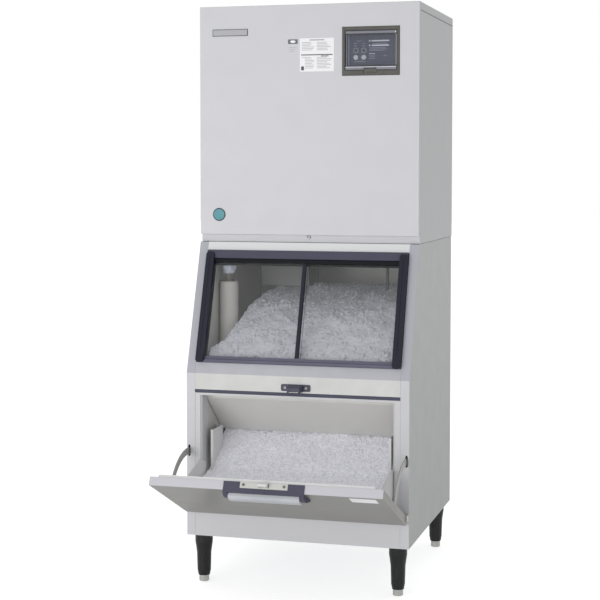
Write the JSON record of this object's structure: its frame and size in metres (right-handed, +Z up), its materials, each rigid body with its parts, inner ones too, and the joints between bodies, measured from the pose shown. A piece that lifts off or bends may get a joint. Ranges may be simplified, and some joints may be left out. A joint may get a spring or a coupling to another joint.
{
  "type": "flake ice machine",
  "caption": "Floor-standing flake ice machine: ice-making head on an insulated bin with sloped sliding windows, a drop-down latched door on curved stays and levelling feet.",
  "frame": {"origin": "on the floor, midway between the four levelling feet", "axes": "+Z up, front faces -Y, +X to the right seen from the front"},
  "size_m": [0.7, 1.0723, 1.79],
  "materials": {
    "front_steel": "satin stainless sheet",
    "zinc_sheet": "galvanised sheet, dull",
    "navy_plastic": "fine-grained moulding",
    "seal_rubber": "soft seal",
    "white_abs": "semi-gloss sheet moulding",
    "foam": "rigid foam",
    "door_steel": "satin painted sheet",
    "pane": "clear sliding pane",
    "smoked": "smoked clear plastic",
    "bezel_plastic": "dark moulding",
    "panel_sheet": null,
    "button_plastic": "light moulding",
    "grip_plastic": "ribbed light-grey moulding",
    "polished_steel": "polished stainless",
    "leg_plastic": "black moulding",
    "sleeve_foam": "light-grey pipe lagging",
    "tube_plastic": "thin sleeve",
    "chute_plastic": "dark-grey moulding",
    "paddle_plastic": "white moulding",
    "cast": "painted castings",
    "lagging": "black foam lagging",
    "auger_steel": "turned stainless",
    "black_paint": "gloss black paint",
    "fin_aluminium": "thin fins and pressed blades",
    "box_paint": "plain paint",
    "brass": "turned brass",
    "ice": "wet granular flakes, cloudy"
  },
  "bodies": {
    "cabinet": {"baffle": "white_abs", "bin_insulation": "foam", "bin_liner": "white_abs", "cabinet_base": "zinc_sheet", "cabinet_screws": "polished_steel", "cabinet_wrap": "front_steel", "catch_bracket": "navy_plastic", "compressor": "black_paint", "condenser": "fin_aluminium", "control_bezel": "bezel_plastic", "control_box": "box_paint", "control_panel": "panel_sheet", "door_frame": "white_abs", "door_gasket": "seal_rubber", "drain_pipe": "sleeve_foam", "evaporator": "lagging", "fan_motor": "black_paint", "front_panel": "front_steel", "gear_motor": "cast", "head_back": "zinc_sheet", "head_base": "front_steel", "head_side_left": "front_steel", "head_side_right": "front_steel", "head_top": "front_steel", "hinge_pins": "polished_steel", "ice_bed": "ice", "ice_chute": "chute_plastic", "ice_front": "ice", "legs": "leg_plastic", "lower_front_panel": "front_steel", "mid_panel": "front_steel", "rear_fittings": "brass", "thermostat_tube": "tube_plastic", "top_rail": "front_steel", "water_reservoir": "paddle_plastic", "window_header": "navy_plastic", "window_jambs": "navy_plastic", "window_sill": "navy_plastic"},
    "door": {"door_skin": "door_steel", "door_liner": "white_abs", "door_stays": "polished_steel", "handle_housing": "navy_plastic", "strike_plate": "polished_steel", "door_screws": "polished_steel"},
    "grip": {"handle_grip": "grip_plastic"},
    "latch": {"latch_tongue": "polished_steel"},
    "window_left": {"glass_left": "pane", "centre_stile": "navy_plastic"},
    "window_right": {"glass_right": "pane"},
    "flap": {"control_flap": "smoked"},
    "run_key": {"run_button": "button_plastic"},
    "stop_key": {"stop_button": "button_plastic"},
    "auger_rotor": {"auger": "auger_steel"},
    "fan_rotor": {"fan": "fin_aluminium"},
    "float": {"float_arm": "paddle_plastic"},
    "paddle": {"chute_paddle": "paddle_plastic"},
    "foot_fl": {"foot_front_left": "polished_steel"},
    "foot_fr": {"foot_front_right": "polished_steel"},
    "foot_bl": {"foot_back_left": "polished_steel"},
    "foot_br": {"foot_back_right": "polished_steel"}
  },
  "joints": [
    {"name": "door_hinge", "type": "hinge", "parent": "cabinet", "child": "door", "pos_m": [0, -0.365, 0.2488], "axis": [1, 0, 0], "range_deg": [-65, 0], "deforming": ["ice_front"]},
    {"name": "grip_squeeze", "type": "hinge", "parent": "door", "child": "grip", "pos_m": [0, -0.68473, 0.36271], "axis": [1, 0, 0], "range_deg": [0, 14], "stiffness_Nm_per_rad": 0.25, "springref_deg": -22.92},
    {"name": "latch_slide", "type": "slide", "parent": "door", "child": "latch", "axis": [0, -0.9074, 0.4202], "range_m": [-0.009, 0]},
    {"name": "window_left_slide", "type": "slide", "parent": "cabinet", "child": "window_left", "axis": [1, 0, 0], "range_m": [0, 0.29]},
    {"name": "window_right_slide", "type": "slide", "parent": "cabinet", "child": "window_right", "axis": [1, 0, 0], "range_m": [-0.29, 0]},
    {"name": "flap_hinge", "type": "hinge", "parent": "cabinet", "child": "flap", "pos_m": [0.199, -0.213, 1.7004], "axis": [1, 0, 0], "range_deg": [-100, 0]},
    {"name": "run_press", "type": "slide", "parent": "cabinet", "child": "run_key", "axis": [0, 1, 0], "range_m": [0, 0.002], "stiffness_N_per_m": 300, "springref_m": -0.001},
    {"name": "stop_press", "type": "slide", "parent": "cabinet", "child": "stop_key", "axis": [0, 1, 0], "range_m": [0, 0.002], "stiffness_N_per_m": 300, "springref_m": -0.001},
    {"name": "auger_spin", "type": "hinge", "parent": "cabinet", "child": "auger_rotor", "pos_m": [0.045, 0.1, 1.4], "axis": [0, 0, 1], "continuous": true},
    {"name": "fan_spin", "type": "hinge", "parent": "cabinet", "child": "fan_rotor", "pos_m": [-0.29, 0.06, 1.33], "axis": [1, 0, 0], "continuous": true},
    {"name": "float_swing", "type": "hinge", "parent": "cabinet", "child": "float", "pos_m": [0.24, 0.25, 1.514], "axis": [1, 0, 0], "range_deg": [-6, 16]},
    {"name": "paddle_swing", "type": "hinge", "parent": "cabinet", "child": "paddle", "pos_m": [-0.137, 0.02, 1.5], "axis": [1, 0, 0], "range_deg": [-8, 70]},
    {"name": "foot_fl_turn", "type": "hinge", "parent": "cabinet", "child": "foot_fl", "pos_m": [-0.309, -0.309, 0.02], "axis": [0, 0, 1], "continuous": true},
    {"name": "foot_fr_turn", "type": "hinge", "parent": "cabinet", "child": "foot_fr", "pos_m": [0.309, -0.309, 0.02], "axis": [0, 0, 1], "continuous": true},
    {"name": "foot_bl_turn", "type": "hinge", "parent": "cabinet", "child": "foot_bl", "pos_m": [-0.309, 0.309, 0.02], "axis": [0, 0, 1], "continuous": true},
    {"name": "foot_br_turn", "type": "hinge", "parent": "cabinet", "child": "foot_br", "pos_m": [0.309, 0.309, 0.02], "axis": [0, 0, 1], "continuous": true}
  ],
  "couplings": [
    {"joint": "latch_slide", "follows": "grip_squeeze", "m_per_rad": -0.036}
  ]
}
